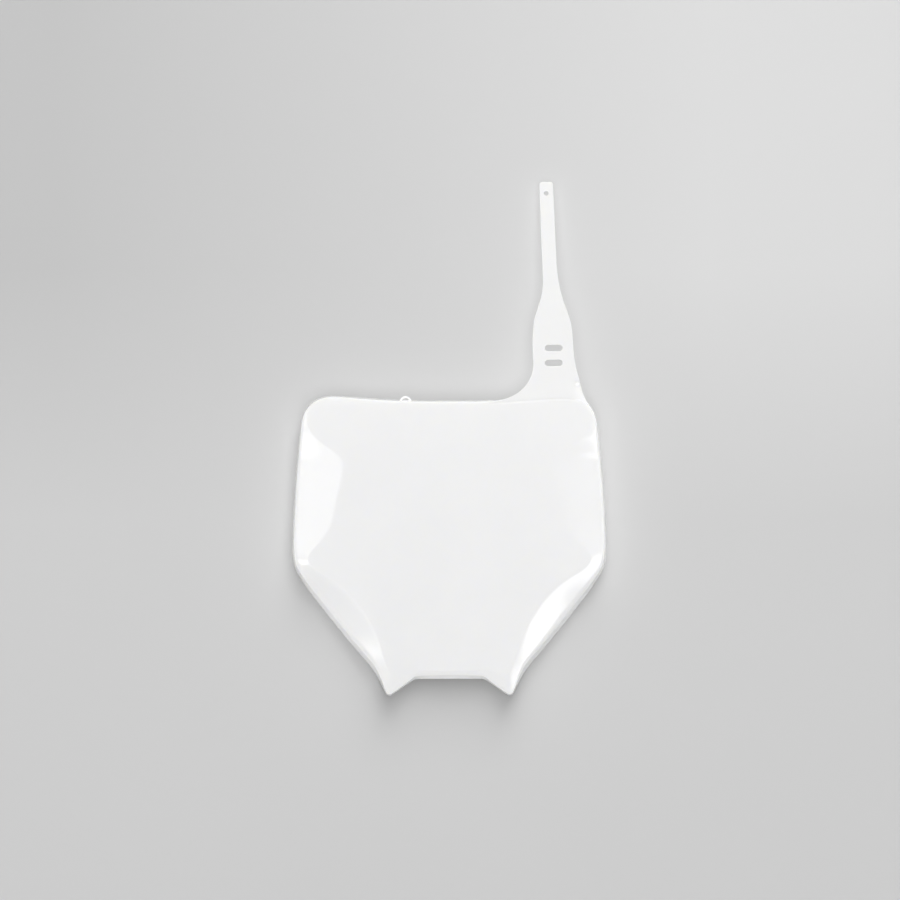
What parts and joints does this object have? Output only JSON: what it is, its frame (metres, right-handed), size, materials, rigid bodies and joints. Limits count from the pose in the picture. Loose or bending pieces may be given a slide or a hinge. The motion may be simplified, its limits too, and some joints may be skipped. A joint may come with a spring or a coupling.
{
  "type": "racing number board",
  "caption": "Moulded front number board for an off-road motorbike: a shallow shell with creased, sloping margins, a forked lower end and a long slotted strap.",
  "frame": {"origin": "middle of the bounding box at the plane the rear edge of the rim rests on", "axes": "+Y from the forked lower end toward the strap end, +Z out of the face toward the viewer, +X to the viewer's right"},
  "size_m": [0.24, 0.3922, 0.028],
  "materials": {
    "board": "gloss white polypropylene"
  },
  "bodies": {
    "root": {"board": "board"}
  },
  "joints": []
}
